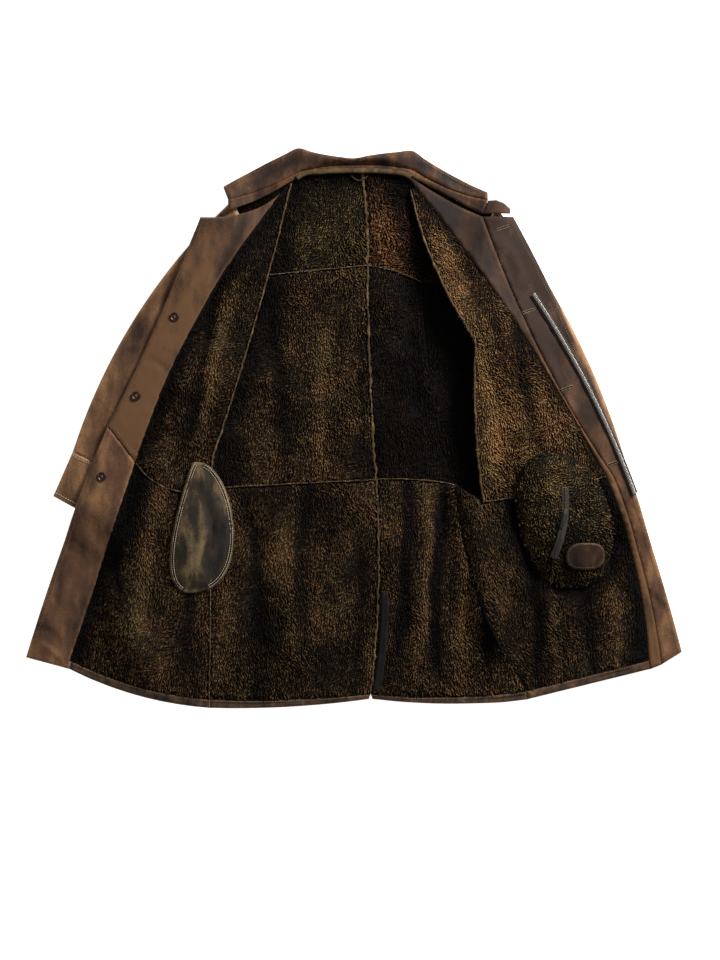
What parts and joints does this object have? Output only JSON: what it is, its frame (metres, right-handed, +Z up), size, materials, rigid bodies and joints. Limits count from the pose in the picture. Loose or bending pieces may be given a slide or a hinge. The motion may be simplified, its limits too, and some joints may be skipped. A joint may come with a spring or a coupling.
{
  "type": "shearling coat",
  "caption": "Long shearling coat laid open on its back, pile side up, with suede facings turned outwards over its sleeves, pocket bags showing and a leather-bound hem.",
  "frame": {"origin": "on the floor under the left back panel, 30 mm beside the back's centre seam and halfway up the coat's length", "axes": "+X to the viewer's right across the opened coat, +Y from hem to neck, +Z up from the floor"},
  "size_m": [1.1796, 1.0064, 0.0684],
  "materials": {
    "pile_dark": "sheared wool pile",
    "pile_tan": "sheared wool pile",
    "pile_olive": "curly wool pile",
    "suede_brown": "brushed suede",
    "suede_tan": "brushed suede, lightened by wear",
    "suede_olive": "thin split suede",
    "leather_dark": "dark nappa leather",
    "zip_metal": "dull nickel",
    "zip_tape": "woven tape",
    "button_horn": "dark marbled resin"
  },
  "bodies": {
    "coat": {"back_yoke_left": "pile_olive", "back_yoke_right": "pile_tan", "back_body_left": "pile_dark", "back_body_right": "pile_dark", "back_skirt_left": "pile_dark", "back_skirt_right": "pile_dark", "front_under_right": "pile_dark", "front_body_left": "pile_dark", "front_skirt_left": "pile_dark", "front_body_right": "pile_tan", "front_skirt_right": "pile_dark", "facing_left_upper": "suede_brown", "facing_left_lower": "suede_brown", "facing_right_strip": "suede_brown", "facing_right_fly": "suede_brown", "hem_band_front_left": "suede_tan", "hem_band_back_left": "suede_tan", "hem_band_back_right": "suede_tan", "hem_band_front_right": "suede_tan", "sleeve_left_top": "suede_tan", "sleeve_left_under": "suede_tan", "cuff_left_top": "suede_tan", "cuff_left_under": "suede_tan", "sleeve_right_top": "suede_tan", "sleeve_right_under": "suede_tan", "cuff_right_top": "suede_tan", "cuff_right_under": "suede_tan", "collar_fall": "suede_brown", "collar_stand": "suede_brown", "throat_tab": "suede_tan", "hanger_loop": "leather_dark", "pocket_bag_left": "suede_olive", "pocket_bag_right": "pile_olive", "pocket_zip_tape": "zip_tape", "pocket_zip_slider": "zip_metal", "pocket_patch": "leather_dark", "front_zip_tape": "zip_tape", "front_zip_teeth": "zip_metal", "button_1": "button_horn", "button_2": "button_horn", "button_3": "button_horn", "vent_underlay": "leather_dark"},
    "zip_pull": {"pocket_zip_pull": "zip_metal"}
  },
  "joints": [
    {"name": "zip_pull_hinge", "type": "hinge", "parent": "coat", "child": "zip_pull", "pos_m": [0.37511, -0.14971, 0.05918], "axis": [-0.97, 0.243, 0], "range_deg": [0, 150]}
  ]
}
